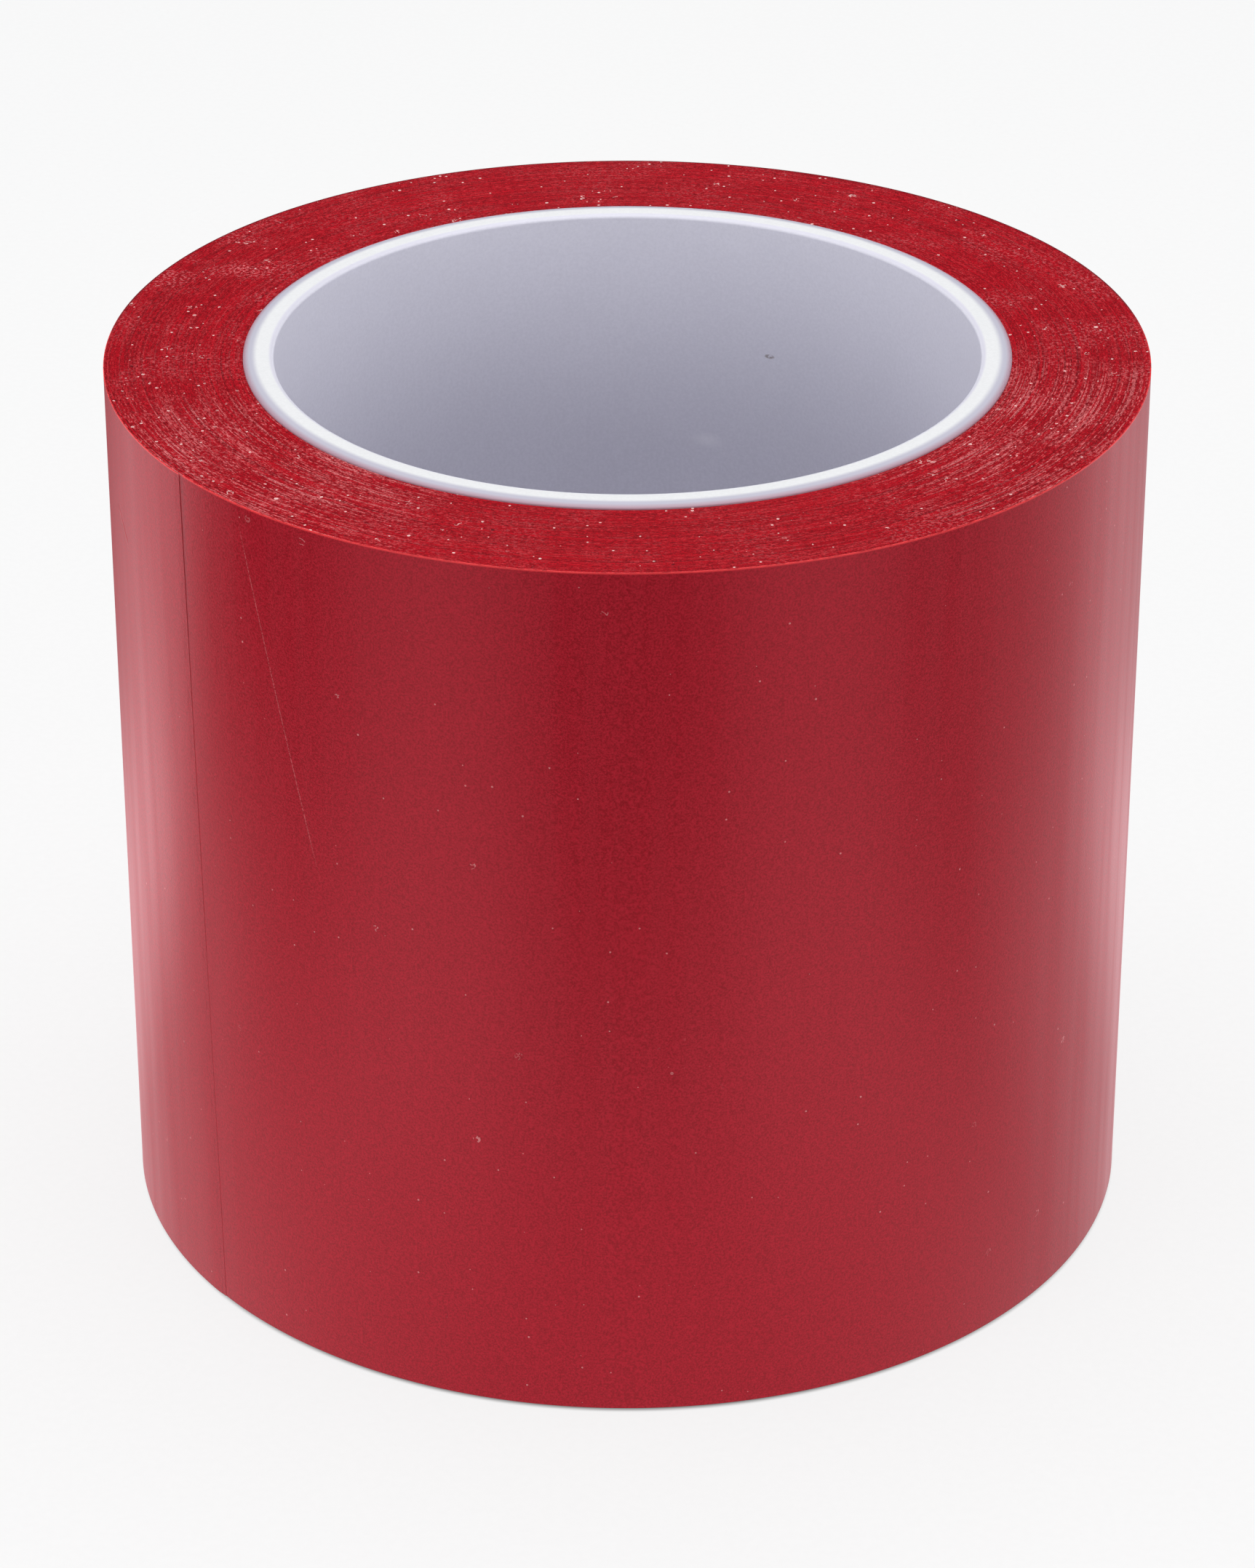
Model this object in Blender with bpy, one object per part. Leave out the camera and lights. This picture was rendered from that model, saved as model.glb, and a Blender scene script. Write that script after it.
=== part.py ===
"""A roll of wide vinyl film tape on a plastic core, standing on end.

The roll's axis is +Z, and the origin is at the centre of the core's lower rim, on which the roll stands.
The tape is one long strip: a vinyl film with a thin coat of adhesive on its inner side. It winds outwards
anticlockwise, seen from above. The strip is modelled in three stretches:

- the wound turns next to the core, as one solid whose outside follows the spiral,
- the last full turn, as its film and its adhesive,
- the free end of that turn, as its film and its adhesive, which peels off about a vertical line.
"""

import math

import bmesh
import bpy

MM = 0.001

# The strip of tape.
TAPE_WIDTH = 100 * MM
FILM_THICKNESS = 0.12 * MM
ADHESIVE_THICKNESS = 0.02 * MM
TURN_PITCH = FILM_THICKNESS + ADHESIVE_THICKNESS
TURNS = 108

# The core: a tube with a 77 mm bore, a little longer than the tape is wide.
BORE_RADIUS = 38.5 * MM
CORE_RADIUS = 41.85 * MM
RIM_PROUD = 0.45 * MM
CORE_LENGTH = TAPE_WIDTH + 2 * RIM_PROUD
RIM_INNER_ROUND = 0.6 * MM
RIM_OUTER_RUN = 1.15 * MM
RIM_OUTER_DROP = 0.35 * MM
ROUND_STEPS = 3

# The free end of the tape: where it stops, and the line where it starts to peel.
END_ANGLE = math.radians(216)
PEEL_ANGLE = math.radians(177)
PEEL_GAP = 0.3 * MM

# Every ring and strip has its corners at the same angles, so that thin layers lie flat on each other.
SEGMENTS = 120
STEP_ANGLE = math.tau / SEGMENTS
LAYER_GAP = 0.004 * MM
CORE_GAP = 0.03 * MM

TAPE_LOW = RIM_PROUD
TAPE_HIGH = RIM_PROUD + TAPE_WIDTH
END_RADIUS = CORE_RADIUS + TURNS * TURN_PITCH

TAPE_RED = (0.40, 0.018, 0.030)
ADHESIVE_PINK = (0.36, 0.045, 0.050)
CORE_WHITE = (0.74, 0.73, 0.78)


def make_material(name, colour, roughness):
    """A plain Principled material."""
    material = bpy.data.materials.new(name)
    material.use_nodes = True
    shader = material.node_tree.nodes["Principled BSDF"]
    shader.inputs["Base Color"].default_value = (*colour, 1)
    shader.inputs["Roughness"].default_value = roughness
    shader.inputs["Metallic"].default_value = 0
    return material


def polar(radius, angle, height):
    """The point at a radius and an angle round the roll's axis, at a height."""
    return (radius * math.cos(angle), radius * math.sin(angle), height)


def strip_radius(angle):
    """The radius of the last turn's inner side, which grows by one pitch in a turn up to the tape's end."""
    return END_RADIUS - TURN_PITCH - TURN_PITCH * (END_ANGLE - angle) / math.tau


def finish(name, bm, material, hinge=None):
    """Turn a bmesh into a named object, smooth apart from its sharp edges, on the hinge if it has one."""
    bmesh.ops.recalc_face_normals(bm, faces=bm.faces)
    mesh = bpy.data.meshes.new(name)
    if hinge:
        bmesh.ops.translate(bm, verts=bm.verts, vec=-hinge.location)
    bm.to_mesh(mesh)
    bm.free()
    mesh.shade_smooth()
    mesh.set_sharp_from_angle(angle=math.radians(20))
    mesh.materials.append(material)
    item = bpy.data.objects.new(name, mesh)
    item.parent = hinge
    bpy.context.collection.objects.link(item)
    return item


def turned_ring(name, profile, material):
    """Turn a closed outline of (radius, height) points round the roll's axis."""
    bm = bmesh.new()
    rings = [
        [bm.verts.new(polar(radius, END_ANGLE + k * STEP_ANGLE, height)) for radius, height in profile]
        for k in range(SEGMENTS)
    ]
    for k, ring in enumerate(rings):
        after = rings[(k + 1) % SEGMENTS]
        for i in range(len(profile)):
            j = (i + 1) % len(profile)
            bm.faces.new((ring[i], after[i], after[j], ring[j]))
    return finish(name, bm, material)


def core_profile():
    """Half of the core's section: a flat rim with a round inner edge and a long, low outer slope."""
    inner_edge = [
        (
            BORE_RADIUS + RIM_INNER_ROUND * (1 - math.cos(turn)),
            CORE_LENGTH - RIM_INNER_ROUND * (1 - math.sin(turn)),
        )
        for turn in (math.pi / 2 * i / ROUND_STEPS for i in range(ROUND_STEPS + 1))
    ]
    outer_edge = [
        (
            CORE_RADIUS - RIM_OUTER_RUN * (1 - math.sin(turn)),
            CORE_LENGTH - RIM_OUTER_DROP * (1 - math.cos(turn)),
        )
        for turn in (math.pi / 2 * i / ROUND_STEPS for i in range(ROUND_STEPS + 1))
    ]
    upper = inner_edge + outer_edge
    lower = [(radius, CORE_LENGTH - height) for radius, height in reversed(upper)]
    return upper + lower


def wound_turns(name, inner_radius, material):
    """The turns under the last one: a ring whose outside is a spiral with one step, where the last turn starts."""
    bm = bmesh.new()
    loops = []
    for height in (TAPE_LOW, TAPE_HIGH):
        angles = [END_ANGLE - math.tau + k * STEP_ANGLE for k in range(SEGMENTS + 1)]
        inner = [bm.verts.new(polar(inner_radius, angle, height)) for angle in angles[:-1]]
        outer = [bm.verts.new(polar(strip_radius(angle) - LAYER_GAP, angle, height)) for angle in angles]
        loops.append((inner, outer))
        for k in range(SEGMENTS - 1):
            bm.faces.new((inner[k], inner[k + 1], outer[k + 1], outer[k]))
        bm.faces.new((inner[-1], inner[0], outer[0]))
        bm.faces.new((inner[-1], outer[0], outer[-1], outer[-2]))
    for low, high in zip(*loops):
        for k in range(len(low)):
            after = (k + 1) % len(low)
            bm.faces.new((low[k], low[after], high[after], high[k]))
    return finish(name, bm, material)


def strip(name, depth, thickness, start, stop, material, hinge=None):
    """A stretch of one layer of the last turn, depth above the turn's inner side, from start to stop."""
    grid = [END_ANGLE - math.tau + k * STEP_ANGLE for k in range(SEGMENTS + 1)]
    clear = STEP_ANGLE / 100
    angles = [start] + [angle for angle in grid if start + clear < angle < stop - clear] + [stop]
    bm = bmesh.new()
    sections = []
    for angle in angles:
        inner = strip_radius(angle) + depth
        corners = (
            (inner, TAPE_LOW),
            (inner + thickness, TAPE_LOW),
            (inner + thickness, TAPE_HIGH),
            (inner, TAPE_HIGH),
        )
        sections.append([bm.verts.new(polar(radius, angle, height)) for radius, height in corners])
    for section, after in zip(sections, sections[1:]):
        for i in range(4):
            j = (i + 1) % 4
            bm.faces.new((section[i], after[i], after[j], section[j]))
    bm.faces.new(sections[0])
    bm.faces.new(reversed(sections[-1]))
    return finish(name, bm, material, hinge)


def peel_hinge():
    """The vertical line where the free end leaves the roll, on the film's outer side."""
    hinge = bpy.data.objects.new("tape_end_hinge", None)
    hinge.empty_display_size = 10 * MM
    start = PEEL_ANGLE + PEEL_GAP / END_RADIUS
    hinge.location = polar(strip_radius(start) + TURN_PITCH, start, 0)
    bpy.context.collection.objects.link(hinge)
    return hinge


def build():
    """Make every piece of the roll."""
    film = make_material("tape_film", TAPE_RED, 0.35)
    adhesive = make_material("adhesive", ADHESIVE_PINK, 0.6)
    core_plastic = make_material("core_plastic", CORE_WHITE, 0.5)

    turned_ring("core", core_profile(), core_plastic)
    wound_turns("wound_tape", CORE_RADIUS + CORE_GAP, film)

    gap_angle = PEEL_GAP / END_RADIUS
    turn_start = END_ANGLE - math.tau + gap_angle
    film_depth = ADHESIVE_THICKNESS
    coat = ADHESIVE_THICKNESS - LAYER_GAP
    strip("last_turn_film", film_depth, FILM_THICKNESS, turn_start, PEEL_ANGLE, film)
    strip("last_turn_adhesive", 0, coat, turn_start, PEEL_ANGLE, adhesive)

    hinge = peel_hinge()
    peel_start = PEEL_ANGLE + gap_angle
    strip("tape_end_film", film_depth, FILM_THICKNESS, peel_start, END_ANGLE, film, hinge)
    strip("tape_end_adhesive", 0, coat, peel_start, END_ANGLE, adhesive, hinge)


for item in list(bpy.data.objects):
    bpy.data.objects.remove(item)
build()
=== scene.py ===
"""The looks of the tape roll: a red vinyl film tape wound on a white plastic core, in soft studio light.

The tape is modelled as what it is, one strip wound in a spiral. Every stretch of it comes from one sweep
of the strip's section along that spiral, so the layer lines on the roll's sides are the real edges of turns,
with painted glints and painted shade between turns on top.
"""

import math

import bpy
import numpy as np
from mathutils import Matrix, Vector, noise


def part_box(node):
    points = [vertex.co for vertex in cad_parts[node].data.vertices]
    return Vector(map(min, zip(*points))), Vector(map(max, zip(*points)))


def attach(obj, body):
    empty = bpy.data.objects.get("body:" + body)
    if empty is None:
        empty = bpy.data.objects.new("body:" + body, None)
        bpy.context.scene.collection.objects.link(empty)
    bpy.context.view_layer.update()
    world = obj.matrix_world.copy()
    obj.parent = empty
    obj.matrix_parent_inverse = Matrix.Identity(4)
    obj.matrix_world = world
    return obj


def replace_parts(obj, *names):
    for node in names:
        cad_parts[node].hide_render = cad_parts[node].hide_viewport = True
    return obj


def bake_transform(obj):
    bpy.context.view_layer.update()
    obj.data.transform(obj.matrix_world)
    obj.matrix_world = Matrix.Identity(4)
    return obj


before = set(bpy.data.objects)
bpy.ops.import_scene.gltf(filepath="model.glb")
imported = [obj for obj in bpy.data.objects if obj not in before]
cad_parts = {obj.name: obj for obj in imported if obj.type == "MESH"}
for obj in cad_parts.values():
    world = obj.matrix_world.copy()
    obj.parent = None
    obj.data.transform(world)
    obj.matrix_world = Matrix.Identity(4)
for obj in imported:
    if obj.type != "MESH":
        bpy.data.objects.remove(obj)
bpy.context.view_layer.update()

MM = 0.001


# ---------------------------------------------------------------- sizes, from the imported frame


def node_radii(name):
    """The least and the greatest distance of a CAD node's corners from the roll's axis."""
    radii = [math.hypot(v.co.x, v.co.y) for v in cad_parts[name].data.vertices]
    return min(radii), max(radii)


turns_low, turns_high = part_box("wound_tape")
bore_radius, core_radius = node_radii("core")
end_radius = node_radii("tape_end_film")[1]
tape_low, tape_high = turns_low.z, turns_high.z
tape_width = tape_high - tape_low
roll_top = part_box("core")[1].z

# The tape's UV is along the strip and across it: in metres on its faces, and on its edges in turns and in
# the radius times this.
EDGE_SPREAD = 10

# The strip: one turn's thickness, its adhesive's share of that, and the clearance between neighbours.
PITCH = 0.14 * MM
COAT = 0.02 * MM
LAYER_GAP = 0.006 * MM
TURN_EDGE = 0.022 * MM
TURNS = round((end_radius - core_radius) / PITCH)
STEPS_PER_TURN = 180

# The last turn: where it stops, and where its two pieces meet. Its cut end leans over the last LEAN_RUN of
# a turn, about LEAN_LEVEL, it is pressed thin over PRESSED_RUN, and it peels in a bend CURL_RUN long.
END_ANGLE = math.radians(216)
BACK_ANGLE = math.radians(100)
CUT_LEAN = math.radians(2.6)
LEAN_RUN = 30 / 360
LEAN_LEVEL = (tape_low + tape_high) / 2 + 20 * MM
PRESSED_RUN = 1.1 * MM

# Its section: steps round each edge, rows up the outer face, the edges' radius and how proud they stand.
ROUND_STEPS = 3
FACE_ROWS = 16
OUTER_EDGE = 0.055 * MM
RIM_PROUD = 0.05 * MM

# Faces that meet at less than this are shaded smooth.
SMOOTH_LIMIT = math.radians(40)

# Places of the marks on the roll. The scratch and the crease are in unrolled()'s flat places.
SCUFF_PLACE = (4.1 * MM, -end_radius, 42.4 * MM)
SCRATCH_TOP, SCRATCH_FOOT = (44.8 * MM, 100 * MM), (55.5 * MM, 59 * MM)
CREASE_TOP, CREASE_FOOT = (16.4 * MM, 89.4 * MM), (20.5 * MM, 86.0 * MM)
FADED_PLACE = (-43 * MM, 24 * MM, roll_top)
BRIGHT_SPOT_PLACE = (9.4 * MM, 37.3 * MM, 73 * MM)
SPECK_PLACE = (16.5 * MM, 34.8 * MM, 84.7 * MM)

# A painted glow: the bright red of light that gets into the film at the last turn's cut edges and top.
PAINTED_GLOW_RED = (0.80, 0.040, 0.045, 1)
# Painted shade on the last turn's cut edges, at the roll's back and foot.
PAINTED_SHADE_RED = (0.11, 0.004, 0.008, 1)


# ---------------------------------------------------------------- the strip of tape


def smooth_noise(value, seed):
    """Smooth noise along a line, from about -1 to 1."""
    return noise.noise(Vector((value, seed * 7.31, seed * 3.17)))


def strip_angle(along):
    """The angle round the roll at a place along the strip, counted in turns from its start at the core."""
    return END_ANGLE + along * math.tau


def strip_radius(along):
    """The radius of the strip's inner side at a place along it."""
    return end_radius - PITCH * (TURNS + 1 - along)


def busy(angle):
    """How uneven the turns' edges are round the roll: most at the front's two corners, least at the back."""
    left = math.exp(2.2 * (math.cos(angle - math.radians(-141)) - 1))
    right = math.exp(2.2 * (math.cos(angle - math.radians(-22)) - 1))
    return 0.3 + 0.7 * max(left, right)


def wander(along):
    """How far the strip lies up or down from its true place: a slow drift, and a little for each turn."""
    angle = strip_angle(along)
    slow = 0.05 * MM * smooth_noise(along / 9, 1)
    turn = 0.030 * MM * smooth_noise(along * 1.7, 2)
    short = 0.022 * MM * smooth_noise(along * 9, 3)
    stray = max(0.0, smooth_noise(along * 2.3, 4) - 0.42) * 0.12 * MM
    return slow + busy(angle) * (turn + short + stray)


def section(low, high, inner, outer, edge, steps):
    """The strip's section: (radius, height) points round a thin upright oblong with rounded edges.
    The first rounding is the outer side's lower one, and the second its upper one."""
    points = []
    corners = (
        (outer - edge, low + edge, -90),
        (outer - edge, high - edge, 0),
        (inner + edge, high - edge, 90),
        (inner + edge, low + edge, 180),
    )
    for radius, height, start in corners:
        for i in range(steps + 1):
            turn = math.radians(start + 90 * i / steps)
            points.append((radius + edge * math.cos(turn), height + edge * math.sin(turn)))
    return points


def mesh_object(name, points, faces, materials, face_slots, uvs):
    """A mesh object with a material slot for each face, smooth where faces meet at less than SMOOTH_LIMIT."""
    mesh = bpy.data.meshes.new(name)
    mesh.from_pydata(points, [], faces)
    for material in materials:
        mesh.materials.append(material)
    mesh.polygons.foreach_set("material_index", face_slots)
    layer = mesh.uv_layers.new(name="strip")
    layer.data.foreach_set("uv", np.asarray(uvs, np.float32).ravel())
    rest = mesh.attributes.new("rest_place", "FLOAT_VECTOR", "POINT")
    rest.data.foreach_set("vector", np.asarray(points, np.float32).ravel())
    mesh.shade_smooth()
    mesh.set_sharp_from_angle(angle=SMOOTH_LIMIT)
    item = bpy.data.objects.new(name, mesh)
    bpy.context.scene.collection.objects.link(item)
    return item


def sweep(name, stations, make_section, is_face, materials):
    """Sweep a section along the spiral. stations are places along the strip in turns, make_section gives the
    (radius, height) points at one, and is_face says which of its spans have the first material. The others
    have the second, and the two ends the last."""
    sections = [make_section(along) for along in stations]
    count = len(sections[0])
    points = [
        (radius * math.cos(strip_angle(along)), radius * math.sin(strip_angle(along)), height)
        for along, outline in zip(stations, sections)
        for radius, height in outline
    ]
    steps = [(b - a) * math.tau * strip_radius((a + b) / 2) for a, b in zip(stations, stations[1:])]
    lengths = np.cumsum([0.0] + steps)
    faces, slots, uvs = [], [], []
    for k in range(len(stations) - 1):
        for i in range(count):
            j = (i + 1) % count
            faces.append((k * count + i, (k + 1) * count + i, (k + 1) * count + j, k * count + j))
            slots.append(0 if is_face[i] else 1)
            near, far = sections[k], sections[k + 1]
            if is_face[i]:
                uvs += [(lengths[k], near[i][1]), (lengths[k + 1], far[i][1])]
                uvs += [(lengths[k + 1], far[j][1]), (lengths[k], near[j][1])]
            else:
                uvs += [(stations[k], near[i][0] * EDGE_SPREAD), (stations[k + 1], far[i][0] * EDGE_SPREAD)]
                uvs += [(stations[k + 1], far[j][0] * EDGE_SPREAD), (stations[k], near[j][0] * EDGE_SPREAD)]
    last = (len(stations) - 1) * count
    faces += [tuple(range(count)), tuple(reversed(range(last, last + count)))]
    slots += [len(materials) - 1] * 2
    uvs += [(stations[0], radius * EDGE_SPREAD) for radius, height in sections[0]]
    uvs += [(stations[-1], radius * EDGE_SPREAD) for radius, height in reversed(sections[-1])]
    return mesh_object(name, points, faces, materials, slots, uvs)


# ---------------------------------------------------------------- materials


class Nodes:
    """A small helper to build one material's node tree."""

    def __init__(self, name):
        self.material = bpy.data.materials.new(name)
        self.material.use_nodes = True
        self.tree = self.material.node_tree
        self.shader = self.tree.nodes["Principled BSDF"]

    def add(self, kind, **settings):
        """A node with the given properties."""
        node = self.tree.nodes.new(kind)
        for key, value in settings.items():
            setattr(node, key, value)
        return node

    def put(self, value, socket):
        """Set a socket to a number or colour, or link an output to it."""
        if isinstance(value, bpy.types.NodeSocket):
            self.tree.links.new(value, socket)
        else:
            socket.default_value = value

    def math(self, operation, a, b=0.0):
        """One Math node."""
        node = self.add("ShaderNodeMath", operation=operation)
        for value, socket in zip((a, b), node.inputs):
            self.put(value, socket)
        return node.outputs[0]

    def attribute(self, name):
        """A vector stored on the mesh."""
        return self.add("ShaderNodeAttribute", attribute_name=name).outputs["Vector"]

    def uv(self):
        """The mesh's UV, which the comment at EDGE_SPREAD explains."""
        return self.add("ShaderNodeUVMap", uv_map="strip").outputs["UV"]

    def part(self, vector, axis):
        """One component of a vector."""
        node = self.add("ShaderNodeSeparateXYZ")
        self.put(vector, node.inputs[0])
        return node.outputs[axis]

    def join(self, x, y=0.0, z=0.0):
        """A vector from three numbers."""
        node = self.add("ShaderNodeCombineXYZ")
        for value, socket in zip((x, y, z), node.inputs):
            self.put(value, socket)
        return node.outputs[0]

    def from_axis(self, x, y):
        """The distance of a place from the roll's axis."""
        return self.math("SQRT", self.math("ADD", self.math("MULTIPLY", x, x), self.math("MULTIPLY", y, y)))

    def noise(self, vector, scale, detail=2.0, rough=0.5, kind="3D"):
        """Noise from 0 to 1, with scale in cycles per metre."""
        node = self.add("ShaderNodeTexNoise", noise_dimensions=kind)
        if kind == "1D":
            self.put(vector, node.inputs["W"])
        else:
            self.put(vector, node.inputs["Vector"])
        self.put(scale, node.inputs["Scale"])
        self.put(detail, node.inputs["Detail"])
        self.put(rough, node.inputs["Roughness"])
        return node.outputs["Fac"]

    def cells(self, vector, scale, dimensions="3D"):
        """Voronoi cells: the distance to the nearest cell's point, and a random colour for it."""
        node = self.add("ShaderNodeTexVoronoi", voronoi_dimensions=dimensions)
        self.put(vector, node.inputs["Vector"])
        self.put(scale, node.inputs["Scale"])
        return node.outputs["Distance"], node.outputs["Color"]

    def ramp(self, value, low, high, to_low=0.0, to_high=1.0):
        """Map a stretch of values smoothly onto another."""
        node = self.add("ShaderNodeMapRange", interpolation_type="SMOOTHSTEP")
        for v, key in zip((value, low, high, to_low, to_high), range(5)):
            self.put(v, node.inputs[key])
        return node.outputs[0]

    def mix(self, share, a, b):
        """Blend two colours."""
        node = self.add("ShaderNodeMix", data_type="RGBA")
        self.put(share, node.inputs[0])
        self.put(a, node.inputs[6])
        self.put(b, node.inputs[7])
        return node.outputs[2]

    def close_to(self, place, point, radii):
        """1 at a point, falling to 0 at the given distances from it along each axis."""
        apart = self.add("ShaderNodeVectorMath", operation="SUBTRACT")
        self.put(place, apart.inputs[0])
        apart.inputs[1].default_value = point
        scaled = self.add("ShaderNodeVectorMath", operation="DIVIDE")
        self.put(apart.outputs[0], scaled.inputs[0])
        scaled.inputs[1].default_value = radii
        length = self.add("ShaderNodeVectorMath", operation="LENGTH")
        self.put(scaled.outputs[0], length.inputs[0])
        return self.ramp(length.outputs["Value"], 0.0, 1.0, 1.0, 0.0)

    def stroke(self, place, start, stop, width):
        """1 on a straight stroke between two points of a flat (x, y) place, falling to 0 at its width."""
        x, y = self.part(place, 0), self.part(place, 1)
        run = Vector(stop) - Vector(start)
        length = run.length
        run.normalize()
        dx, dy = self.math("SUBTRACT", x, start[0]), self.math("SUBTRACT", y, start[1])
        ahead = self.math("ADD", self.math("MULTIPLY", dx, run.x), self.math("MULTIPLY", dy, run.y))
        aside = self.math("SUBTRACT", self.math("MULTIPLY", dy, run.x), self.math("MULTIPLY", dx, run.y))
        across = self.ramp(self.math("ABSOLUTE", aside), 0.0, width, 1.0, 0.0)
        inside = self.math(
            "MULTIPLY",
            self.ramp(ahead, 0.0, length * 0.15, 0.0, 1.0),
            self.ramp(ahead, length * 0.8, length, 1.0, 0.0),
        )
        return self.math("MULTIPLY", across, inside)

    def bump(self, height, distance, strength=1.0, normal=None):
        """A bump of a height, in metres."""
        node = self.add("ShaderNodeBump")
        self.put(height, node.inputs["Height"])
        node.inputs["Distance"].default_value = distance
        node.inputs["Strength"].default_value = strength
        if normal is not None:
            self.put(normal, node.inputs["Normal"])
        return node.outputs[0]

    def set(self, **values):
        """Set the shader's sockets by name, with _ for a space."""
        for key, value in values.items():
            self.put(value, self.shader.inputs[key.replace("_", " ")])
        return self.material


def chosen_cells(nodes, colour, share):
    """1 in a share of the Voronoi cells, and 0 in the others."""
    nearly_sharp = 0.002
    return nodes.ramp(nodes.part(colour, 0), 1 - share, 1 - share + nearly_sharp)


def specks(nodes, place, scale, share, size, dimensions="3D"):
    """Sparse small specks: 1 on a speck. share is the part of the cells that hold one, and size is its
    greatest radius, in cells."""
    distance, colour = nodes.cells(place, scale, dimensions)
    chosen = chosen_cells(nodes, colour, share)
    grown = nodes.math("MULTIPLY", nodes.part(colour, 1), size)
    near = nodes.math("LESS_THAN", distance, grown)
    return nodes.math("MULTIPLY", chosen, near)


def lint(nodes, place, scale, share, width):
    """Sparse short curled fibres: pieces of a noise's contour line, about a cell long. width is in metres."""
    contour = nodes.math("ABSOLUTE", nodes.math("SUBTRACT", nodes.noise(place, scale * 1.6, 1), 0.5))
    on_line = nodes.ramp(contour, scale * width * 0.5, scale * width, 1.0, 0.0)
    distance, colour = nodes.cells(place, scale)
    chosen = chosen_cells(nodes, colour, share)
    inside = nodes.math("LESS_THAN", distance, 0.40)
    return nodes.math("MULTIPLY", on_line, nodes.math("MULTIPLY", chosen, inside))


def unrolled(nodes, place):
    """A place on the outer face laid flat: distance from the left side towards the front, and height."""
    x, y = nodes.part(place, 0), nodes.part(place, 1)
    turned = nodes.math("ARCTAN2", nodes.math("MULTIPLY", y, -1.0), nodes.math("MULTIPLY", x, -1.0))
    return nodes.join(nodes.math("MULTIPLY", turned, end_radius), nodes.part(place, 2))


def scratch_line(nodes, place):
    """A hairline scratch down the left of the front, leaning a little towards the front."""
    return nodes.stroke(unrolled(nodes, place), SCRATCH_TOP, SCRATCH_FOOT, 0.11 * MM)


def crease_line(nodes, place):
    """A small slanting crease in the film near its top, at the left side."""
    return nodes.stroke(unrolled(nodes, place), CREASE_TOP, CREASE_FOOT, 0.5 * MM)


def film_face_material():
    """The outer face of the film: smooth and semi-gloss, with a fine grain, dust, a scratch, a crease and a
    painted glow at its top.
    """
    n = Nodes("film_face")
    uv, place = n.uv(), n.attribute("rest_place")
    height = n.part(uv, 1)
    grain = n.noise(place, 4600, 2, 0.7)
    flat = unrolled(n, place)
    turned = n.part(flat, 0)
    streaks = n.noise(n.join(turned, n.math("MULTIPLY", height, 0.04)), 330, 3, 0.55)
    deep, red, pale = (0.232, 0.0001, 0.0055, 1), (0.394, 0.0036, 0.0165, 1), (0.66, 0.26, 0.26, 1)
    colour = n.mix(n.ramp(grain, 0.30, 0.70), deep, red)

    dust = specks(n, flat, 330, 0.15, 0.040, "2D")
    dust = n.math("MAXIMUM", dust, lint(n, place, 880, 0.0024, 0.035 * MM))
    rubbed = n.close_to(place, SCUFF_PLACE, (8 * MM, 8 * MM, 6 * MM))
    rubbed = n.math("MULTIPLY", rubbed, specks(n, place, 1500, 0.16, 0.30))
    scratch = n.math("MULTIPLY", scratch_line(n, place), n.ramp(grain, 0.36, 0.56))
    marks = n.math("MAXIMUM", n.math("MULTIPLY", dust, 0.60), n.math("MULTIPLY", rubbed, 0.35))
    marks = n.math("MAXIMUM", marks, n.math("MULTIPLY", scratch, 0.30))
    marks = n.math("MAXIMUM", marks, n.math("MULTIPLY", crease_line(n, place), 0.22))
    colour = n.mix(marks, colour, pale)

    # A painted glow: a thin bright red line along the film's top edge, where light gets into the film.
    painted_top_glow = n.ramp(height, tape_high - 0.20 * MM, tape_high - 0.06 * MM)
    colour = n.mix(n.math("MULTIPLY", painted_top_glow, 0.8), colour, PAINTED_GLOW_RED)

    rough = n.ramp(n.math("ADD", streaks, n.math("MULTIPLY", grain, 0.4)), 0.5, 0.9, 0.29, 0.36)
    normal = n.bump(grain, 0.024 * MM, 0.7)
    normal = n.bump(crease_line(n, place), 0.14 * MM, 1.0, normal)
    tint = (1.0, 0.50, 0.54, 1)
    return n.set(Base_Color=colour, Roughness=rough, Normal=normal, IOR=1.50, Specular_Tint=tint)


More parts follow.
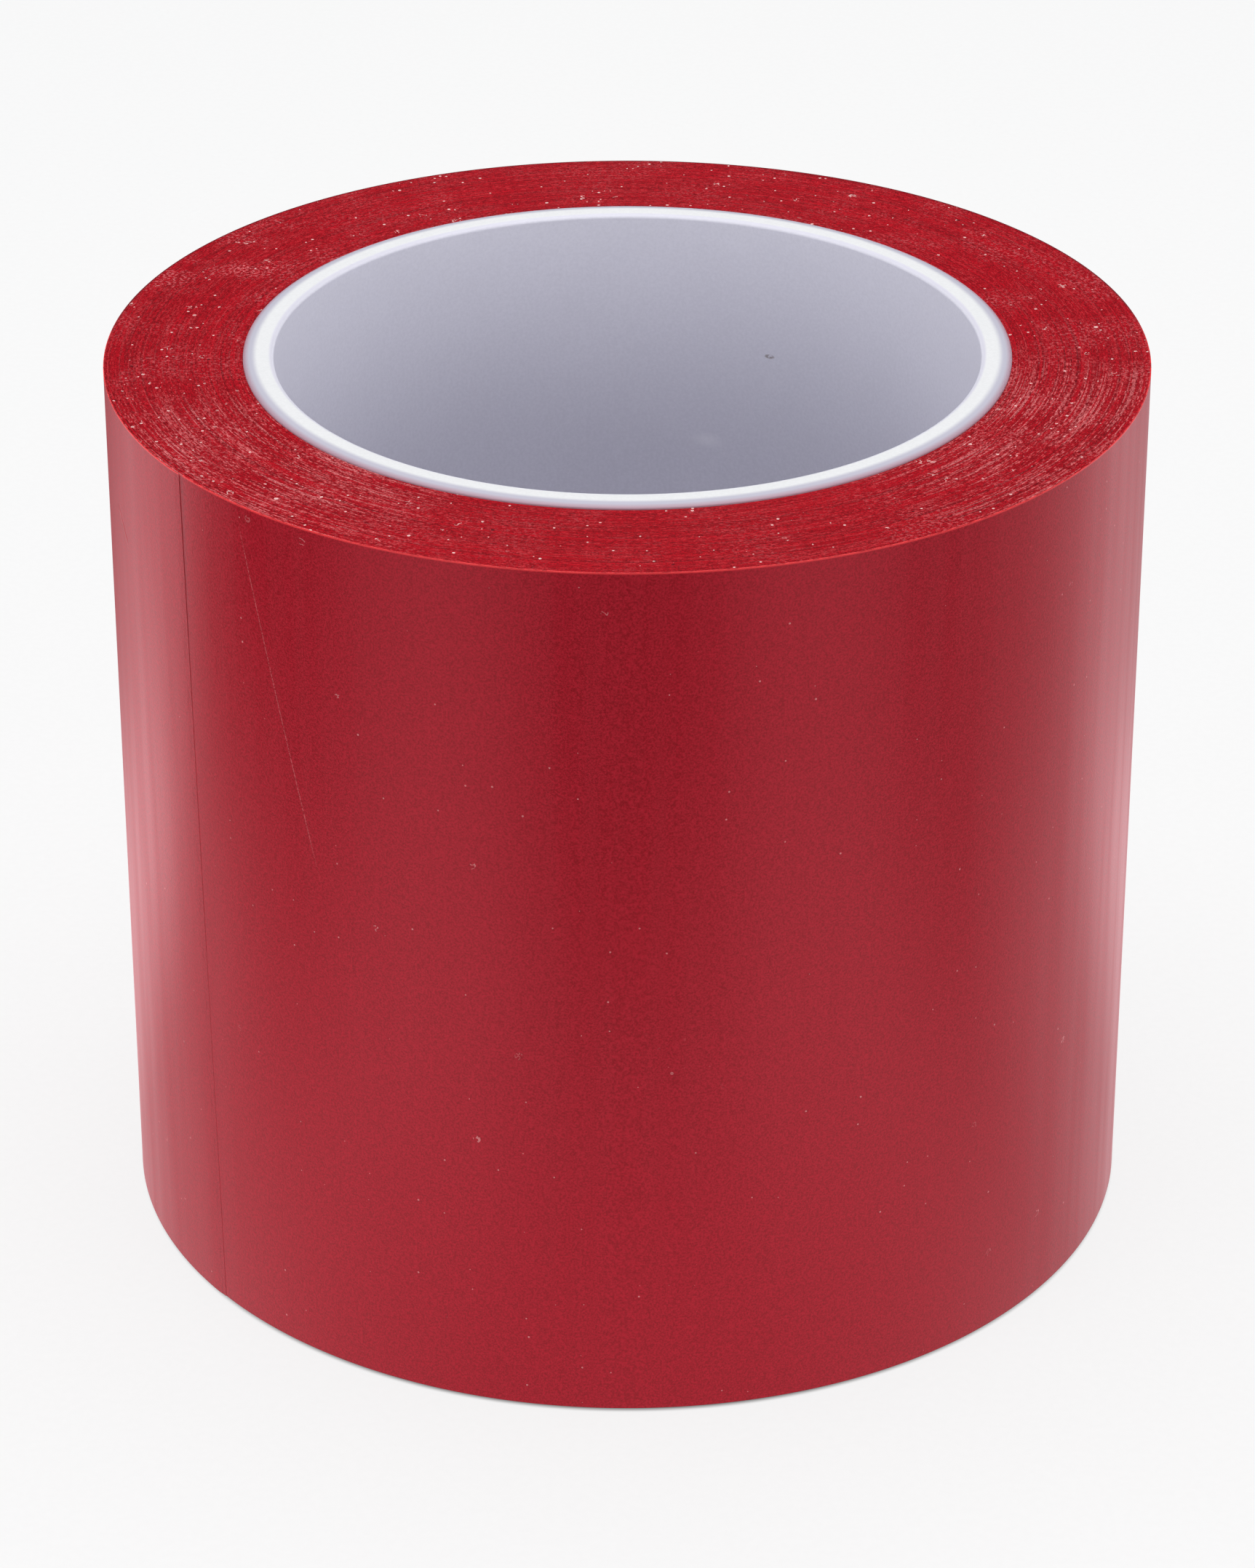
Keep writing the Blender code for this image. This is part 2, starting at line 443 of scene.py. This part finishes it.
def film_edge_material():
    """The cut edges of the turns: deep red, with painted glints broken along turns, pale clouds of scuffing
    and painted sheen, painted shade in the gaps between turns, dust and grime.
    """
    n = Nodes("film_edges")
    place = n.attribute("rest_place")
    along = n.part(n.uv(), 0)
    x, y = n.part(place, 0), n.part(place, 1)
    angle = n.math("ARCTAN2", y, x)
    # Painted light: the glints and the shade between turns are strongest round the front's two corners, where
    # the light glances across the turns' edges.
    left = n.ramp(n.math("ABSOLUTE", n.math("SUBTRACT", angle, math.radians(-140))), 0.15, 0.60, 1.0, 0.0)
    right = n.ramp(n.math("ABSOLUTE", n.math("SUBTRACT", angle, math.radians(-29))), 0.15, 0.62, 1.0, 0.0)
    glancing_light = n.math("ADD", n.math("MULTIPLY", n.math("MAXIMUM", left, right), 0.84), 0.16)
    # Scuffing and painted sheen: more at the roll's left and right, and in one patch.
    upright = n.ramp(n.math("ABSOLUTE", x), 14 * MM, 44 * MM, 0.40, 0.90)
    faded = n.close_to(place, FADED_PLACE, (15 * MM, 11 * MM, 5 * MM))
    upright = n.math("ADD", upright, n.math("MULTIPLY", faded, 1.2))
    grain = n.noise(place, 4800, 2, 0.7)
    fine = n.noise(place, 2600, 3, 0.6)
    clouds = n.noise(place, 120, 4, 0.6)
    dashes = n.noise(along, 330, 2, 0.6, kind="1D")
    lines = n.noise(along, 3.1, 3, 0.7, kind="1D")
    glint_lines = n.noise(n.math("ADD", along, 57.3), 13.0, 3, 0.75, kind="1D")
    deep, red = (0.175, 0.0003, 0.0040, 1), (0.49, 0.0010, 0.0110, 1)
    # The pinks: one for scuffing with painted sheen, one for the painted glints. The darkest red is both
    # painted shade and grime.
    scuff_and_sheen_pink, bright, pale = (0.66, 0.150, 0.165, 1), (0.78, 0.27, 0.275, 1), (0.90, 0.60, 0.57, 1)
    dark = (0.060, 0.003, 0.006, 1)

    tone = n.math("ADD", n.math("MULTIPLY", grain, 0.44), n.math("MULTIPLY", dashes, 0.26))
    tone = n.math("ADD", tone, n.math("MULTIPLY", lines, 0.30))
    colour = n.mix(n.ramp(tone, 0.38, 0.62), deep, red)
    # Pale clouds: partly real scuffing, partly painted sheen where the edges catch the light.
    scuff_and_sheen_clouds = n.math("MULTIPLY", n.ramp(clouds, 0.40, 0.66), n.ramp(fine, 0.50, 0.64))
    colour = n.mix(n.math("MULTIPLY", n.math("MULTIPLY", scuff_and_sheen_clouds, upright), 0.62), colour, scuff_and_sheen_pink)
    # Painted glints: pale pink highlights broken along the turns.
    broken = n.math("ADD", glint_lines, n.math("MULTIPLY", dashes, 0.6))
    painted_glint = n.math("MULTIPLY", n.ramp(broken, 0.78, 1.02), glancing_light)
    painted_glint = n.math("MULTIPLY", painted_glint, n.ramp(grain, 0.38, 0.60, 0.2, 1.0))
    colour = n.mix(n.math("MULTIPLY", painted_glint, 0.72), colour, bright)
    # Painted shade: dark lines in the gaps between turns, more at the front's corners.
    gap_shade_share = n.math("ADD", n.math("MULTIPLY", glancing_light, 0.7), 0.3)
    low_lines = n.math("ADD", lines, n.math("MULTIPLY", dashes, 0.4))
    gap_shade = n.math("MULTIPLY", n.ramp(low_lines, 0.54, 0.38), gap_shade_share)
    colour = n.mix(n.math("MULTIPLY", gap_shade, 0.45), colour, dark)

    dust = n.math("MAXIMUM", specks(n, place, 1500, 0.15, 0.27), specks(n, place, 640, 0.040, 0.18))
    dust = n.math("MAXIMUM", dust, n.math("MULTIPLY", lint(n, place, 760, 0.020, 0.045 * MM), 0.8))
    more = n.math("MULTIPLY", specks(n, place, 1150, 0.11, 0.26), n.ramp(x, -36 * MM, -50 * MM))
    dust = n.math("MAXIMUM", dust, n.math("MULTIPLY", more, 0.8))
    colour = n.mix(n.math("MULTIPLY", dust, 0.85), colour, pale)
    grime = specks(n, place, 1100, 0.012, 0.32)
    colour = n.mix(n.math("MULTIPLY", grime, 0.8), colour, dark)
    normal = n.bump(n.math("ADD", grain, fine), 0.02 * MM, 0.7)
    return n.set(Base_Color=colour, Roughness=0.58, Normal=normal, IOR=1.50, Specular_IOR_Level=0.11)


def cut_edge_material(name, darker, lighter, shade):
    """A cut edge of the last turn, painted bright with the glow of light that gets into the film. shade says
    how much painted shade darkens it at the roll's back and foot, from 0 to 1."""
    n = Nodes(name)
    place = n.attribute("rest_place")
    grain = n.noise(place, 1300, 3, 0.6)
    colour = n.mix(n.ramp(grain, 0.34, 0.58), darker, lighter)
    # Painted shade: darker towards the roll's back and towards its foot.
    behind = n.ramp(n.part(place, 1), -2 * MM, 14 * MM)
    behind = n.math("MAXIMUM", behind, n.ramp(n.part(place, 2), 60 * MM, 20 * MM))
    colour = n.mix(n.math("MULTIPLY", behind, shade), colour, PAINTED_SHADE_RED)
    normal = n.bump(grain, 0.01 * MM, 0.5)
    return n.set(Base_Color=colour, Roughness=0.45, Normal=normal, IOR=1.50, Specular_IOR_Level=0.3)


def coat_material():
    """The adhesive coat: clear and tacky over the red film, with a fine pebbled skin."""
    n = Nodes("adhesive_coat")
    uv = n.uv()
    pebbles = n.noise(uv, 2600, 2, 0.5)
    clouds = n.noise(uv, 160, 3, 0.6)
    colour = n.mix(n.ramp(clouds, 0.35, 0.7), (0.38, 0.022, 0.034, 1), (0.46, 0.045, 0.058, 1))
    normal = n.bump(pebbles, 0.02 * MM, 0.6)
    rough = n.ramp(pebbles, 0.3, 0.7, 0.34, 0.5)
    return n.set(Base_Color=colour, Roughness=rough, Normal=normal, IOR=1.47)


def core_material():
    """White plastic: a bright rim and a matt bore, with painted light and shade. The bore is painted lighter
    near its ends and darker inside, its lavender partly the plastic's tint and partly painted cool shade. The
    rim's round inner edge, outer slope and foot are painted darker as painted shade, the foot pinkish. Two
    small marks are in the bore."""
    n = Nodes("core_plastic_skin")
    place = n.attribute("rest_place")
    x, y, z = (n.part(place, axis) for axis in range(3))
    radius = n.from_axis(x, y)
    from_middle = n.math("ABSOLUTE", n.math("SUBTRACT", z, roll_top / 2))
    grain = n.noise(place, 3000, 2, 0.6)
    clouds = n.noise(place, 60, 3, 0.5)
    tone = n.math("ADD", n.math("MULTIPLY", grain, 0.75), n.math("MULTIPLY", clouds, 0.25))
    # The bore is painted lighter near its ends and darker towards its middle: painted light near the rim,
    # painted shade inside. Its lavender is partly the plastic's own tint and partly painted cool shade.
    bore = n.mix(n.ramp(tone, 0.3, 0.7), (0.810, 0.800, 0.885, 1), (0.865, 0.855, 0.940, 1))
    shaded_bore = n.mix(n.ramp(tone, 0.3, 0.7), (0.565, 0.557, 0.640, 1), (0.615, 0.607, 0.690, 1))
    bore = n.mix(n.ramp(from_middle, 18 * MM, roll_top / 2 - 1 * MM), shaded_bore, bore)
    rim = n.mix(n.ramp(grain, 0.3, 0.7), (0.750, 0.755, 0.760, 1), (0.785, 0.790, 0.795, 1))
    # Painted shade: the rim's round inner edge, its outer slope and its foot by the tape are painted darker,
    # the foot pinkish with painted red bounce from the tape.
    shaded_round_edge, slope, foot = (0.68, 0.67, 0.75, 1), (0.50, 0.49, 0.57, 1), (0.42, 0.27, 0.33, 1)
    colour = n.mix(n.ramp(radius, bore_radius + 0.02 * MM, bore_radius + 0.30 * MM), bore, shaded_round_edge)
    colour = n.mix(n.ramp(radius, bore_radius + 0.34 * MM, bore_radius + 0.66 * MM), colour, rim)
    colour = n.mix(n.ramp(radius, core_radius - 1.60 * MM, core_radius - 0.85 * MM), colour, slope)
    colour = n.mix(n.ramp(radius, core_radius - 0.75 * MM, core_radius - 0.03 * MM), colour, foot)
    # A faint bright spot in the bore.
    bright_spot = n.close_to(place, BRIGHT_SPOT_PLACE, (2.6 * MM, 2.6 * MM, 1.3 * MM))
    colour = n.mix(n.math("MULTIPLY", bright_spot, 0.35), colour, (0.84, 0.83, 0.88, 1))
    speck = n.close_to(place, SPECK_PLACE, (1.1 * MM, 1.1 * MM, 0.45 * MM))
    speck = n.math("MULTIPLY", n.ramp(speck, 0.2, 0.7), n.ramp(grain, 0.40, 0.5))
    colour = n.mix(n.math("MULTIPLY", speck, 0.7), colour, (0.20, 0.15, 0.13, 1))
    normal = n.bump(grain, 0.008 * MM, 0.4)
    return n.set(Base_Color=colour, Roughness=0.46, Normal=normal, IOR=1.49, Specular_IOR_Level=0.35)


film_face, film_edges = film_face_material(), film_edge_material()
cut_edges = cut_edge_material("film_cut_edge", (0.44, 0.012, 0.018, 1), PAINTED_GLOW_RED, 0.9)
# The cut end is painted pale pink: a painted highlight to match the film's reflection beside it.
cut_end = cut_edge_material("film_cut_end", (0.64, 0.17, 0.18, 1), (0.74, 0.23, 0.24, 1), 0.0)
coat_skin, core_skin = coat_material(), core_material()


# ---------------------------------------------------------------- the wound turns


def wound_piece(name, first, last):
    """Some of the wound turns, from one place along the strip to another, in turns."""
    steps = (last - first) * STEPS_PER_TURN
    stations = [first + i / STEPS_PER_TURN for i in range(steps + 1)]

    def outline(along):
        """The section at one place along the strip."""
        shift = wander(along)
        inner = max(strip_radius(along), core_radius + LAYER_GAP) + LAYER_GAP / 2
        outer = strip_radius(along) + PITCH - LAYER_GAP / 2
        return section(tape_low + shift, tape_high + shift, inner, outer, TURN_EDGE, 1)

    # Of the section's eight spans, the second is the strip's outer side and the sixth its inner side.
    is_face = [i in (1, 5) for i in range(8)]
    item = sweep(name, stations, outline, is_face, (film_face, film_edges))
    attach(item, "roll")
    return item


# ---------------------------------------------------------------- the last turn and the free end


def ripple(angle, height):
    """The outer face's slight waviness, from the pull of winding. It dies away at the tape's cut end."""
    level = height / tape_width
    x, y = math.cos(angle), math.sin(angle)
    broad = noise.noise(Vector((x * 2.4, y * 2.4, level * 0.25)))
    middle = noise.noise(Vector((x * 8.0 + 11, y * 8.0, level * 0.30)))
    fine = noise.noise(Vector((x * 26.0 + 5, y * 26.0, level * 0.5)))
    from_end = (math.degrees(angle - END_ANGLE) + 180) % 360 - 180
    calm_degrees = 14
    settled = min(1.0, abs(from_end) / calm_degrees) ** 2
    return settled * (0.045 * MM * broad + 0.007 * MM * middle + 0.0012 * MM * fine)


def face_radius(along, height):
    """The radius of the last turn's outer face. The film is pressed thin just before its cut end, most at
    its foot."""
    to_end = (TURNS - along) * math.tau * end_radius
    pressed = max(0.0, 1 - to_end / PRESSED_RUN) if to_end >= 0 else 1.0
    thinning = (PITCH - COAT) * (0.97 - 0.25 * (height / roll_top) ** 2) * pressed
    return strip_radius(along) + PITCH - thinning + ripple(strip_angle(along), height)


def outer_outline(along):
    """The last turn's film, with many rows up its outer face. Its edges stand a little proud."""
    low, high = tape_low - RIM_PROUD, tape_high + RIM_PROUD
    inner = strip_radius(along) + COAT
    outer = strip_radius(along) + PITCH
    points = section(low, high, inner, outer, OUTER_EDGE, ROUND_STEPS)
    lower, upper = points[: ROUND_STEPS + 1], points[ROUND_STEPS + 1 :]
    bottom, top = lower[-1][1], upper[0][1]
    rows = [(outer, bottom + (top - bottom) * i / FACE_ROWS) for i in range(1, FACE_ROWS)]
    outline = []
    for radius, height in lower + rows + upper:
        share = (radius - inner) / (outer - inner)
        outline.append((inner + share * (face_radius(along, height) - inner), height))
    return outline


OUTER_COUNT = 4 * (ROUND_STEPS + 1) + FACE_ROWS - 1
OUTER_FACE = [ROUND_STEPS <= i < ROUND_STEPS + FACE_ROWS for i in range(OUTER_COUNT)]


def coat_outline(along):
    """The adhesive coat under the last turn's film."""
    inner = strip_radius(along) + LAYER_GAP / 2
    outer = strip_radius(along) + COAT - LAYER_GAP / 4
    return [(outer, tape_low), (outer, tape_high), (inner, tape_high), (inner, tape_low)]


def places(first, last, step_degrees):
    """Places along the strip between two angles of the last turn, in turns, closer together at its end."""
    count = max(1, round(math.degrees(last - first) / step_degrees))
    start, stop = (TURNS + (angle - END_ANGLE) / math.tau for angle in (first, last))
    stations = [start + (stop - start) * i / count for i in range(count + 1)]
    if last == END_ANGLE:
        pressed_turns = PRESSED_RUN / (math.tau * end_radius)
        stations[-1:] = [stop - pressed_turns * share for share in (0.8, 0.6, 0.4, 0.25, 0.12, 0)]
    return stations


def lean_cut(item, stations, count):
    """Lean the tape's cut end: its foot a little further round than its top, fading out along the strip."""
    points = item.data.vertices
    for k, along in enumerate(stations):
        fade = max(0.0, 1 - (TURNS - along) / LEAN_RUN)
        if fade <= 0:
            continue
        for i in range(k * count, (k + 1) * count):
            x, y, z = points[i].co
            turn = CUT_LEAN * fade * (LEAN_LEVEL - z) / tape_width
            cosine, sine = math.cos(turn), math.sin(turn)
            points[i].co = (x * cosine - y * sine, x * sine + y * cosine, z)


def smooth_outer_face(item, stations):
    """Give the outer face the normals of its own formula without the pressed end, so that pieces that meet
    on it look like one."""
    mesh = item.data
    normals = {}
    nudge = 2e-5

    def at(along, height):
        """A point on the outer face."""
        angle = strip_angle(along)
        radius = strip_radius(along) + PITCH + ripple(angle, height)
        return Vector((radius * math.cos(angle), radius * math.sin(angle), height))

    for k, along in enumerate(stations):
        for i in range(ROUND_STEPS, ROUND_STEPS + FACE_ROWS + 1):
            index = k * OUTER_COUNT + i
            height = mesh.vertices[index].co.z
            around = at(along + nudge, height) - at(along - nudge, height)
            up = at(along, height + MM) - at(along, height - MM)
            normals[index] = around.cross(up).normalized()
    loops = []
    for polygon in mesh.polygons:
        on_face = polygon.material_index == 0
        for index in polygon.vertices:
            loops.append(normals[index] if on_face else (0, 0, 0))
    mesh.normals_split_custom_set(loops)


def last_turn_piece(name, first, last, step_degrees):
    """A stretch of the last turn's film."""
    stations = places(first, last, step_degrees)
    item = sweep(name, stations, outer_outline, OUTER_FACE, (film_face, cut_edges, cut_end))
    smooth_outer_face(item, stations)
    lean_cut(item, stations, OUTER_COUNT)
    return item


def coat_piece(name, first, last, step_degrees):
    """A stretch of the last turn's adhesive coat."""
    stations = places(first, last, step_degrees)
    item = sweep(name, stations, coat_outline, [True] * 4, (coat_skin, coat_skin))
    lean_cut(item, stations, 4)
    return item


def make_tape():
    """All the pieces of the tape."""
    middle = TURNS // 2
    for name, first, last in (("inner_turns", 0, middle), ("outer_turns", middle, TURNS - 1)):
        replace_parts(wound_piece(name, first, last), "wound_tape")

    start, stop = END_ANGLE - math.tau, END_ANGLE
    fixed = last_turn_piece("last_turn", start, BACK_ANGLE, step_degrees=1.0)
    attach(fixed, "roll")
    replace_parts(fixed, "last_turn_film")
    fixed_coat = coat_piece("last_turn_coat", start, BACK_ANGLE, step_degrees=2.0)
    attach(fixed_coat, "roll")
    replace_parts(fixed_coat, "last_turn_adhesive")

    free = last_turn_piece("free_end", BACK_ANGLE, stop, step_degrees=0.5)
    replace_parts(free, "tape_end_film")
    free_coat = coat_piece("free_end_coat", BACK_ANGLE, stop, step_degrees=0.5)
    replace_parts(free_coat, "tape_end_adhesive")
    for item in (free, free_coat):
        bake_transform(item)


# ---------------------------------------------------------------- the core


def core_profile():
    """(radius, height) points of the core's section above its middle: bore, round inner edge, flat ring and
    outer slope."""
    edge_width, slope_width, slope_drop = 0.65 * MM, 1.45 * MM, 0.38 * MM
    edge_drop = edge_width * 0.8
    rows, steps = 12, 8
    turns = [math.pi / 2 * i / steps for i in range(steps + 1)]
    points = [(bore_radius, roll_top * (0.5 + 0.5 * i / rows)) for i in range(rows)]
    for turn in turns:
        across, down = edge_width * (1 - math.cos(turn)), edge_drop * (1 - math.sin(turn))
        points.append((bore_radius + across, roll_top - down))
    for turn in turns:
        across, down = slope_width * (1 - math.sin(turn)), slope_drop * (1 - math.cos(turn))
        points.append((core_radius - across, roll_top - down))
    points.append((core_radius, roll_top * 0.5))
    return points


def make_core():
    """The core, as a turned tube."""
    upper = core_profile()
    lower = [(radius, roll_top - height) for radius, height in reversed(upper[1:-1])]
    outline = upper + lower
    segments = 360
    points = [
        (r * math.cos(math.tau * k / segments), r * math.sin(math.tau * k / segments), z)
        for k in range(segments)
        for r, z in outline
    ]
    count = len(outline)
    faces, uvs = [], []
    for k in range(segments):
        for i in range(count):
            j, after = (i + 1) % count, (k + 1) % segments
            faces.append((k * count + i, k * count + j, after * count + j, after * count + i))
            around, beyond = (step / segments * math.tau * core_radius for step in (k, k + 1))
            near, far = outline[i][1], outline[j][1]
            uvs += [(around, near), (around, far), (beyond, far), (beyond, near)]
    item = mesh_object("core_tube", points, faces, (core_skin,), [0] * len(faces), uvs)
    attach(item, "roll")
    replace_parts(item, "core")


# ---------------------------------------------------------------- floor, light and camera


def area_light(name, place, target, width, height, power):
    """A soft rectangular light aimed at a target, with its size in metres and its power in watts."""
    light = bpy.data.lights.new(name, "AREA")
    light.shape = "RECTANGLE"
    light.size, light.size_y = width, height
    light.energy = power
    item = bpy.data.objects.new(name, light)
    item.location = place
    item.rotation_euler = (Vector(target) - Vector(place)).to_track_quat("-Z", "Y").to_euler()
    bpy.context.scene.collection.objects.link(item)
    return item


def flat_square(name, half, height, material):
    """A large flat square of a material, facing up."""
    corners = [(-half, -half, height), (half, -half, height), (half, half, height), (-half, half, height)]
    return mesh_object(name, corners, [(0, 1, 2, 3)], (material,), [0], [(0, 0), (1, 0), (1, 1), (0, 1)])


def floor_material():
    """Pale paper that glows evenly, its glow painted dark under the tape: a painted contact shadow round the
    roll's foot.
    """
    n = Nodes("floor_paper")
    place = n.attribute("rest_place")
    x, y = n.part(place, 0), n.part(place, 1)
    distance = n.from_axis(x, y)
    # Painted contact shadow: the floor's glow is cut to a tenth under the core and the tape.
    outside = n.ramp(distance, end_radius - 1.0 * MM, end_radius + 0.15 * MM)
    inside = n.ramp(distance, bore_radius + 1 * MM, bore_radius - 1 * MM)
    open_floor = n.math("ADD", n.math("MULTIPLY", n.math("MAXIMUM", outside, inside), 0.90), 0.10)
    fibre = n.noise(place, 900, 3, 0.6)
    colour = n.mix(n.ramp(fibre, 0.3, 0.7), (0.115, 0.115, 0.115, 1), (0.125, 0.125, 0.125, 1))
    return n.set(
        Base_Color=colour,
        Roughness=0.9,
        Specular_IOR_Level=0.1,
        Emission_Color=(1, 1, 1, 1),
        Emission_Strength=n.math("MULTIPLY", open_floor, 0.822),
    )


def reflector_material():
    """What the glossy film sees of the ground: dim in front of the roll, with two soft pools of light at the
    front's corners, and bright behind it and beside it."""
    n = Nodes("reflector_card")
    place = n.attribute("rest_place")
    x, y = n.part(place, 0), n.part(place, 1)
    round_from_front = n.math("ARCTAN2", x, n.math("MULTIPLY", y, -1.0))
    turned = n.math("ABSOLUTE", round_from_front)
    pool = n.math(
        "MULTIPLY",
        n.ramp(turned, math.radians(9), math.radians(28)),
        n.ramp(turned, math.radians(40), math.radians(70), 1.0, 0.0),
    )
    left_rise = n.ramp(round_from_front, math.radians(-90), math.radians(-108), 0.0, 1.64)
    left_fall = n.ramp(round_from_front, math.radians(-108), math.radians(-150), 0.0, -1.42)
    left_glow = n.math("ADD", left_rise, left_fall)
    right_near = n.ramp(round_from_front, math.radians(60), math.radians(82), 0.0, 0.65)
    right_far = n.ramp(round_from_front, math.radians(95), math.radians(108), 0.0, 0.75)
    right_fall = n.ramp(round_from_front, math.radians(116), math.radians(152), 0.0, -0.75)
    right_glow = n.math("ADD", n.math("ADD", right_near, right_far), right_fall)
    distance = n.from_axis(x, y)
    reach = n.ramp(turned, math.radians(116), math.radians(134), end_radius + 165 * MM, end_radius + 112 * MM)
    nearby = n.ramp(distance, end_radius, reach, 1.0, 0.0)
    left_card = n.close_to(place, (-145 * MM, -14 * MM, 0), (85 * MM, 55 * MM, 1))
    right_card = n.close_to(place, (145 * MM, -5 * MM, 0), (80 * MM, 55 * MM, 1))
    cards = n.math("ADD", n.math("MULTIPLY", left_card, 0.53), n.math("MULTIPLY", right_card, 0.06))
    pool = n.math("MULTIPLY", pool, n.ramp(distance, end_radius + 75 * MM, end_radius + 160 * MM, 0.98, 1.16))
    glow = n.math("ADD", pool, n.math("ADD", left_glow, right_glow))
    glow = n.math("ADD", glow, cards)
    glow = n.math("MULTIPLY", glow, n.ramp(distance, end_radius + 10 * MM, end_radius + 90 * MM, 0.16, 1.0))
    glow = n.math("ADD", n.math("ADD", glow, nearby), 0.01)
    return n.set(
        Base_Color=(0, 0, 0, 1),
        Specular_IOR_Level=0.0,
        Emission_Color=(1, 0.76, 0.80, 1),
        Emission_Strength=glow,
    )


def make_studio():
    """A pale floor that reaches past the view, a pale surround and soft lights. Two of the lights reach only
    the tape's outer face."""
    scene = bpy.context.scene
    scene.view_settings.view_transform = "Standard"
    world = bpy.data.worlds.new("studio")
    world.use_nodes = True
    background = world.node_tree.nodes["Background"]
    background.inputs["Color"].default_value = (0.90, 0.92, 1.0, 1)
    background.inputs["Strength"].default_value = 0.20
    scene.world = world

    half = 4.0
    floor = flat_square("floor", half, 0.0, floor_material())
    floor.visible_glossy = False
    reflector = flat_square("reflector", half, -0.1 * MM, reflector_material())
    reflector.visible_camera = reflector.visible_diffuse = reflector.visible_shadow = False

    middle = (0, 0, roll_top / 2)
    area_light("top_light", (0.0, 0.05, 1.1), middle, 0.9, 0.9, 10.8)
    for side in (-1, 1):
        area_light("front_light", (side * 0.80, -0.80, 0.50), middle, 0.7, 0.7, 2.2)
        wide = area_light("side_light", (side * 0.95, 0.10, 0.35), middle, 0.5, 0.6, 1.4)
        wide.visible_glossy = False
    faces = bpy.data.collections.new("outer_face")
    for name in ("last_turn", "free_end"):
        faces.objects.link(bpy.data.objects[name])
    left = area_light("left_face_light", (-0.95, 0.30, 0.18), middle, 0.5, 0.2, 3.6)
    bounce = area_light("bounce_light", (0, -0.13, 0.008), (0, -end_radius, 0.004), 0.36, 0.03, 0.045)
    for light in (left, bounce):
        light.visible_camera = light.visible_glossy = False
        light.light_linking.receiver_collection = faces


def make_camera():
    """A long lens, in front and 27.5 degrees above, aimed at the roll's middle."""
    distance, elevation = 10.41 * end_radius, math.radians(27.48)
    target = Vector((0, 0, roll_top / 2))
    data = bpy.data.cameras.new("camera")
    data.lens = 120
    data.sensor_width = 36
    data.shift_y = -0.018
    data.clip_start, data.clip_end = 0.01, 20
    item = bpy.data.objects.new("camera", data)
    away = Vector((0, -math.cos(elevation), math.sin(elevation)))
    item.location = target + away * distance
    item.rotation_mode = "QUATERNION"
    item.rotation_quaternion = (-away).to_track_quat("-Z", "Y")
    bpy.context.scene.collection.objects.link(item)
    bpy.context.scene.camera = item


make_camera()
make_core()
make_tape()
make_studio()
